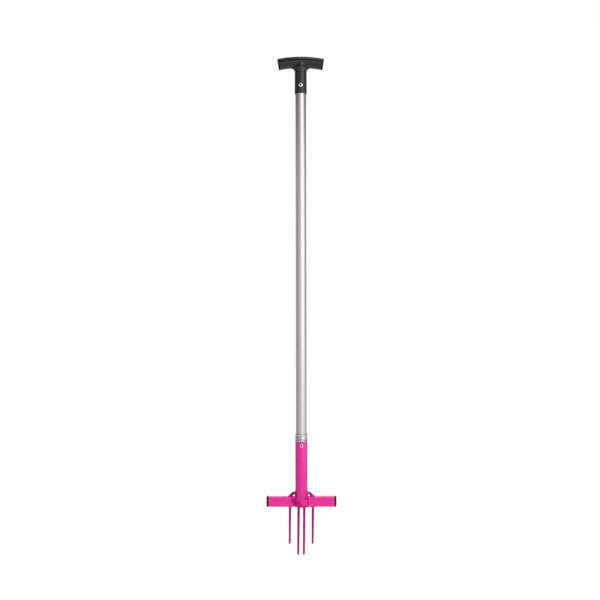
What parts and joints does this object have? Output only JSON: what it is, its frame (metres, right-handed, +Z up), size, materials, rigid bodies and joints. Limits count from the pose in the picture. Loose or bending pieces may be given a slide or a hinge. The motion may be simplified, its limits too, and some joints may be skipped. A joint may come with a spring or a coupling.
{
  "type": "t-handle weeder",
  "caption": "Stand-up hand weeder: T-grip on a straight tube shaft, with a socketed head that has a square foot bar and tapered tines to push into the soil and twist.",
  "frame": {"origin": "on the shaft's axis, in the plane of the head's underside, where the soil stops the head", "axes": "+Z up the shaft towards the grip, X along the grip and the foot bar, -Y towards the rivets"},
  "size_m": [0.1672, 0.0311, 1.1952],
  "materials": {
    "powder_coat": "glossy magenta-pink powder coat on steel",
    "shaft_aluminium": "bright drawn tube, clear coated",
    "ferrule_metal": "bright, rolled",
    "rivet_aluminium": "satin",
    "mandrel_steel": "snapped end, dull",
    "grip_plastic": "moulded black plastic, fine grain",
    "cap_plastic": "moulded black plastic"
  },
  "bodies": {
    "root": {"brace_foot_weld_left": "powder_coat", "brace_foot_weld_right": "powder_coat", "brace_root_weld_left": "powder_coat", "brace_root_weld_right": "powder_coat", "ferrule": "ferrule_metal", "floor_plate": "powder_coat", "floor_plate_weld_left": "powder_coat", "floor_plate_weld_right": "powder_coat", "foot_peg_left": "powder_coat", "foot_peg_right": "powder_coat", "grip_body": "grip_plastic", "grip_end_cap_left": "grip_plastic", "grip_end_cap_right": "grip_plastic", "grip_rivet_body": "rivet_aluminium", "grip_rivet_mandrel": "mandrel_steel", "inner_tine_left": "powder_coat", "inner_tine_right": "powder_coat", "inner_tine_weld_left": "powder_coat", "inner_tine_weld_right": "powder_coat", "outer_tine_left": "powder_coat", "outer_tine_right": "powder_coat", "outer_tine_weld_left": "powder_coat", "outer_tine_weld_right": "powder_coat", "peg_end_cap_left": "cap_plastic", "peg_end_cap_right": "cap_plastic", "peg_weld_left_back": "powder_coat", "peg_weld_left_front": "powder_coat", "peg_weld_right_back": "powder_coat", "peg_weld_right_front": "powder_coat", "shaft_tube": "shaft_aluminium", "socket_rivet_body": "rivet_aluminium", "socket_rivet_mandrel": "mandrel_steel", "socket_tube": "powder_coat"}
  },
  "joints": []
}
